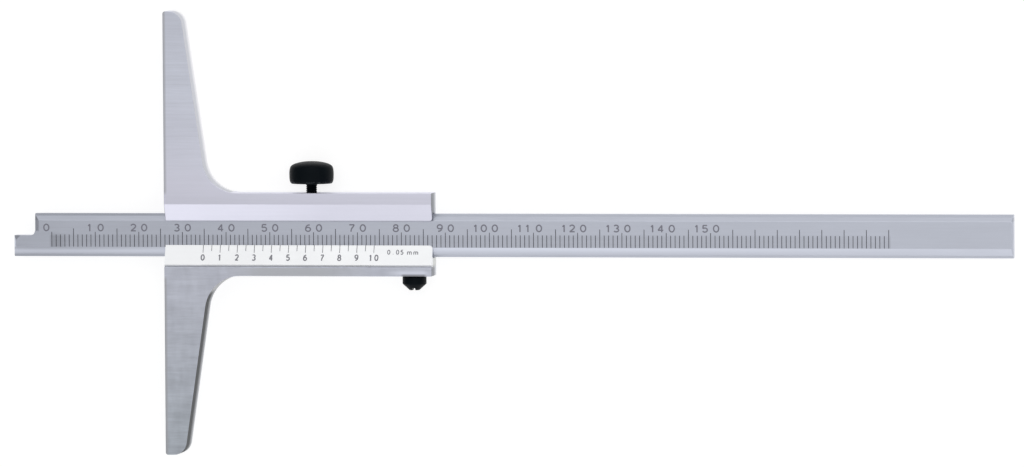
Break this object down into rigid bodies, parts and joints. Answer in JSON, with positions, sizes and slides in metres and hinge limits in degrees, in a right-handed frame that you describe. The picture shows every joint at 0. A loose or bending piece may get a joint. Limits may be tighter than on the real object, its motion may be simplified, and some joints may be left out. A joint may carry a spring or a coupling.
{
  "type": "vernier depth gauge",
  "caption": "Vernier depth gauge: graduated sliding beam with a tongue, in a slider with a wide base, vernier plate, lock screw and guide screw.",
  "frame": {"origin": "on the base's measuring face, on the beam's centre line, in the plane of the slider's back", "axes": "+X along the beam from its measuring tip to its rear end, +Y along the base towards the lock screw, +Z out of the graduated face"},
  "size_m": [0.2265, 0.1, 0.0099],
  "materials": {
    "ground_steel": "fine ground",
    "beam_steel": "satin ground, black filled graduations",
    "satin_chrome": "pearl satin, black filled graduations",
    "cover_steel": "brushed",
    "screw_steel": "turned",
    "black_oxide": "black oxide",
    "scale_paint": "matte fill of the numerals",
    "spring_bronze": "rolled",
    "brass_tip": "turned"
  },
  "bodies": {
    "frame": {"frame": "ground_steel", "vernier_plate": "satin_chrome", "vernier_screw_front": "screw_steel", "vernier_screw_rear": "screw_steel", "back_cover": "cover_steel", "cover_screw_upper_front": "screw_steel", "cover_screw_upper_rear": "screw_steel", "cover_screw_lower_front": "screw_steel", "cover_screw_lower_rear": "screw_steel", "leaf_spring": "spring_bronze"},
    "beam": {"beam": "beam_steel"},
    "lock_tip": {"lock_tip": "brass_tip"},
    "lock_screw": {"lock_screw": "black_oxide"},
    "guide_tip": {"guide_tip": "brass_tip"},
    "guide_screw": {"guide_screw": "black_oxide"}
  },
  "joints": [
    {"name": "beam_slide", "type": "slide", "parent": "frame", "child": "beam", "axis": [-1, 0, 0], "range_m": [-0.0349, 0.1151]},
    {"name": "lock_travel", "type": "slide", "parent": "frame", "child": "lock_tip", "axis": [0, 1, 0], "range_m": [0, 0.00135]},
    {"name": "lock_turn", "type": "hinge", "parent": "lock_tip", "child": "lock_screw", "pos_m": [0.03325, 0.0142, 0.00325], "axis": [0, 1, 0], "range_deg": [0, 1080]},
    {"name": "guide_travel", "type": "slide", "parent": "frame", "child": "guide_tip", "axis": [0, -1, 0], "range_m": [0, 0.0008]},
    {"name": "guide_turn", "type": "hinge", "parent": "guide_tip", "child": "guide_screw", "pos_m": [0.0565, -0.0105, 0.0028], "axis": [0, -1, 0], "range_deg": [0, 720]}
  ],
  "couplings": [
    {"joint": "lock_turn", "follows": "lock_travel", "rad_per_m": 13963},
    {"joint": "guide_turn", "follows": "guide_travel", "rad_per_m": 15708}
  ]
}
